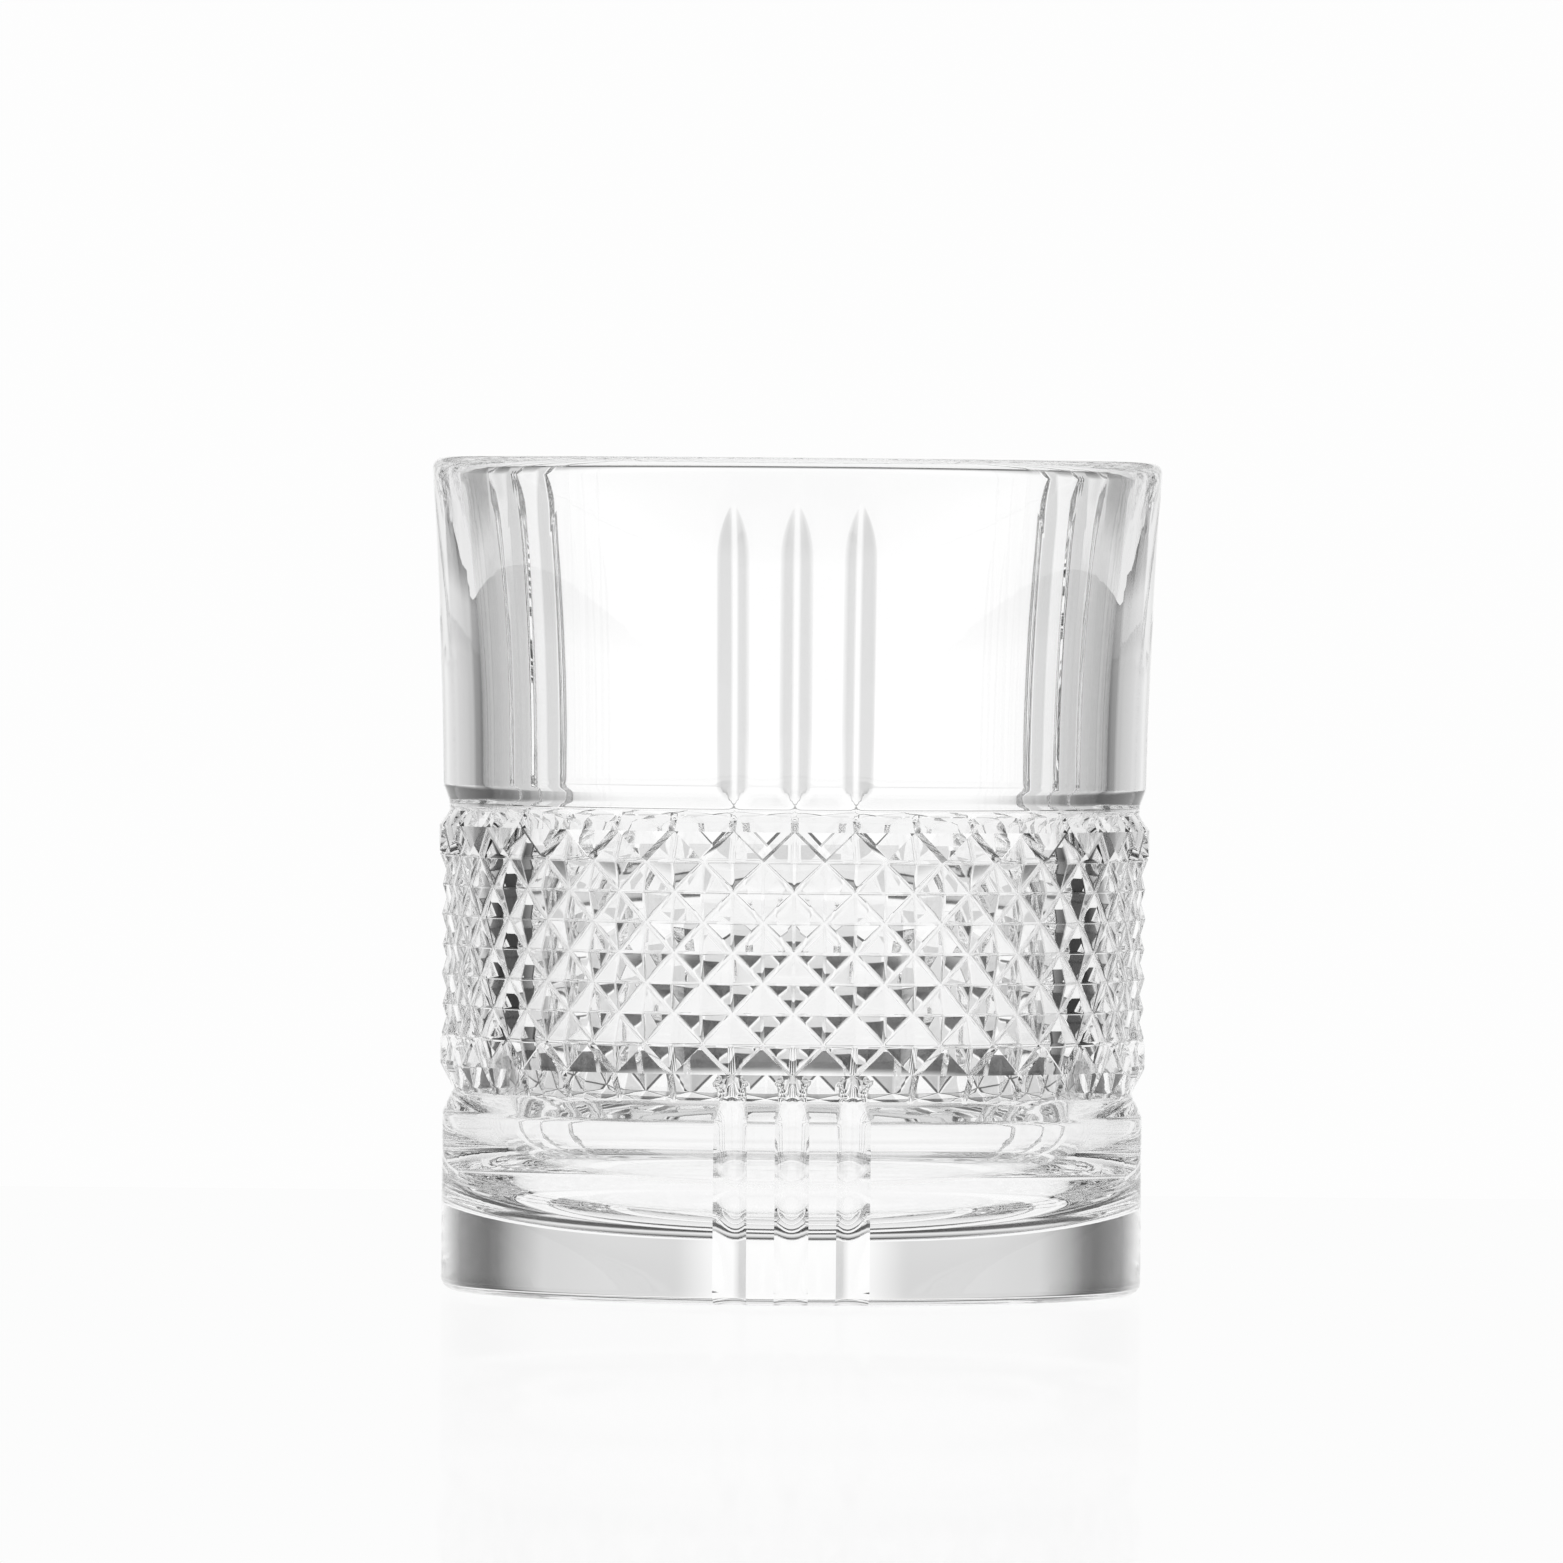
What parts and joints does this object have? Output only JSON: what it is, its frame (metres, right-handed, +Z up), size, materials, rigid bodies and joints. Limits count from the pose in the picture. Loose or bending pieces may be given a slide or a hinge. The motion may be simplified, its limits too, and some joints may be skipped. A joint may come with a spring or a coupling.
{
  "type": "whiskey tumbler",
  "caption": "Straight-sided whiskey tumbler of clear pressed glass with a thick base, a band of cut diamonds and grouped vertical flutes.",
  "frame": {"origin": "centre of the flat underside, where the tumbler rests", "axes": "+Z up along the tumbler's axis; -Y faces the viewer and runs through the middle flute of one group"},
  "size_m": [0.0816, 0.0816, 0.093],
  "materials": {
    "clear_glass": "clear, fire polished"
  },
  "bodies": {
    "root": {"glass_body": "clear_glass"}
  },
  "joints": []
}
